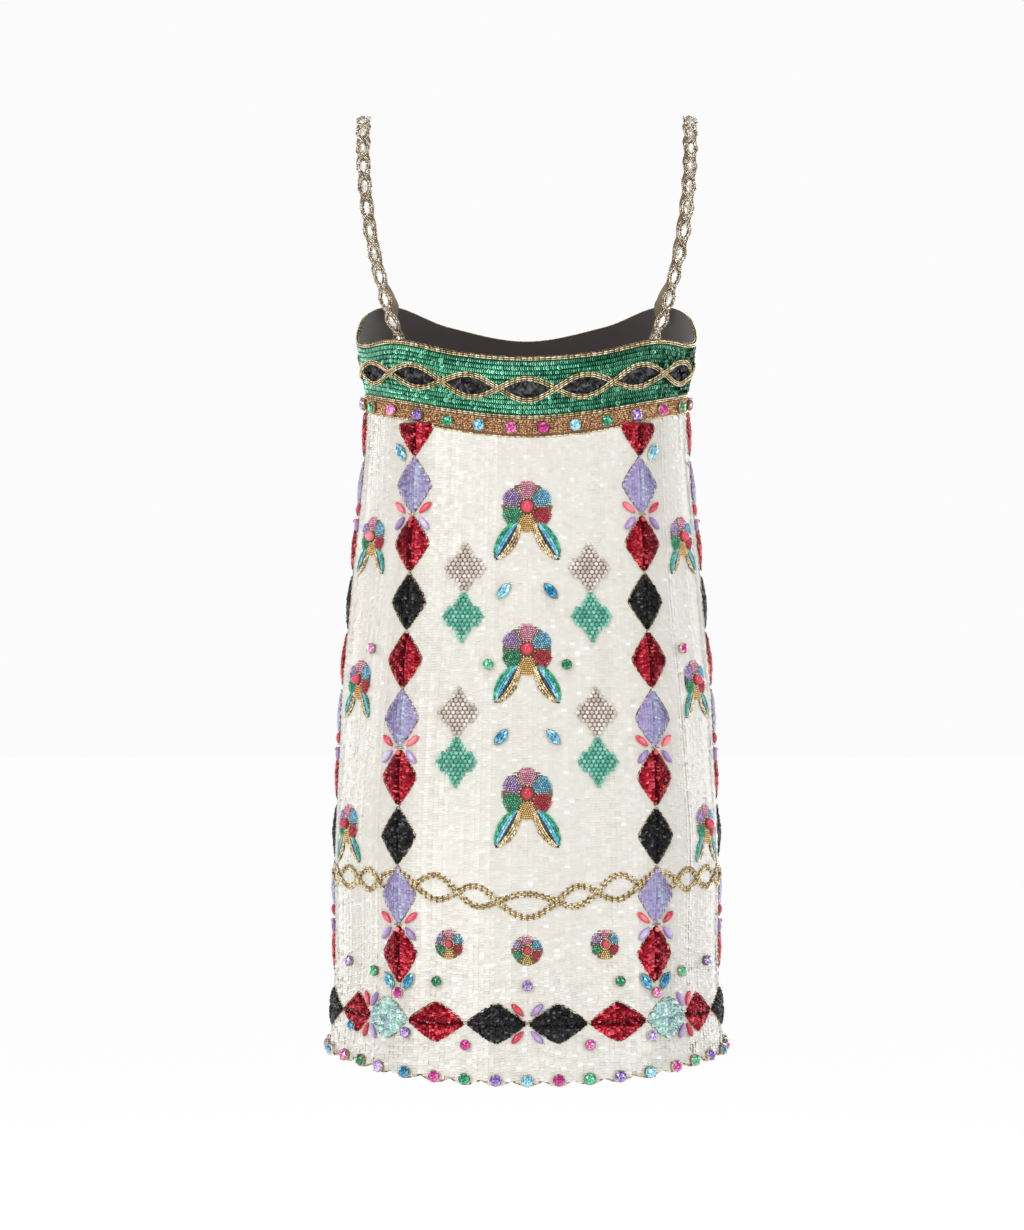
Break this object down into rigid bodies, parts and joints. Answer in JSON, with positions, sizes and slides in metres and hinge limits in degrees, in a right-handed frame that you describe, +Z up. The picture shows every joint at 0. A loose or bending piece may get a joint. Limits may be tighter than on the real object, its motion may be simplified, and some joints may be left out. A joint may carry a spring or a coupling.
{
  "type": "suspender dress",
  "caption": "Sleeveless beaded mini dress held up by two braided straps, with a green bust band, lozenge columns, flowers and a scalloped hem set with stones.",
  "frame": {"origin": "midway between the two places where the straps lie on the wearer's shoulders, at the straps' underside", "axes": "+Z up, -Y out of the dress's back, +Y out of its front, +X to the wearer's right"},
  "size_m": [0.3271, 0.2744, 0.7892],
  "materials": {
    "ivory_sequins": "ivory iridescent sequins sewn in upright rows",
    "green_sequins": "emerald cup sequins in level rows",
    "bronze_beads": "copper seed beads with round stones",
    "gold_beads": "antique gold bugle beads",
    "red_sequins": "crimson, lilac, mint and black sequins, one colour to a lozenge",
    "teal_pearls": "small teal and beige pearls",
    "coral_beads": "mixed seed and bugle beads round a coral pearl"
  },
  "bodies": {
    "root": {"skirt_back": "ivory_sequins", "skirt_front": "ivory_sequins", "bust_band_back": "green_sequins", "bust_band_front": "green_sequins", "stone_strip_back": "bronze_beads", "stone_strip_front": "bronze_beads", "hem_trim_back": "ivory_sequins", "hem_trim_front": "ivory_sequins", "strap_left": "gold_beads", "strap_right": "gold_beads", "braid_back_a": "gold_beads", "braid_back_b": "gold_beads", "braid_front_a": "gold_beads", "braid_front_b": "gold_beads", "lozenge_row_back": "red_sequins", "lozenge_row_front": "red_sequins", "lozenge_column_1": "red_sequins", "lozenge_column_2": "red_sequins", "lozenge_column_3": "red_sequins", "lozenge_column_4": "red_sequins", "lozenge_column_5": "red_sequins", "lozenge_column_6": "red_sequins", "flower_back_1": "coral_beads", "flower_back_2": "coral_beads", "flower_back_3": "coral_beads", "blossom_back_1": "coral_beads", "blossom_back_2": "coral_beads", "blossom_back_3": "coral_beads", "flower_front_1": "coral_beads", "flower_front_2": "coral_beads", "flower_front_3": "coral_beads", "blossom_front_1": "coral_beads", "blossom_front_2": "coral_beads", "blossom_front_3": "coral_beads", "flower_back_left_1": "coral_beads", "flower_back_left_2": "coral_beads", "flower_back_left_3": "coral_beads", "flower_back_right_1": "coral_beads", "flower_back_right_2": "coral_beads", "flower_back_right_3": "coral_beads", "flower_front_left_1": "coral_beads", "flower_front_left_2": "coral_beads", "flower_front_left_3": "coral_beads", "flower_front_right_1": "coral_beads", "flower_front_right_2": "coral_beads", "flower_front_right_3": "coral_beads", "pearls_back_left_1": "teal_pearls", "pearls_back_left_2": "teal_pearls", "pearls_back_right_1": "teal_pearls", "pearls_back_right_2": "teal_pearls", "pearls_front_left_1": "teal_pearls", "pearls_front_left_2": "teal_pearls", "pearls_front_right_1": "teal_pearls", "pearls_front_right_2": "teal_pearls"}
  },
  "joints": []
}
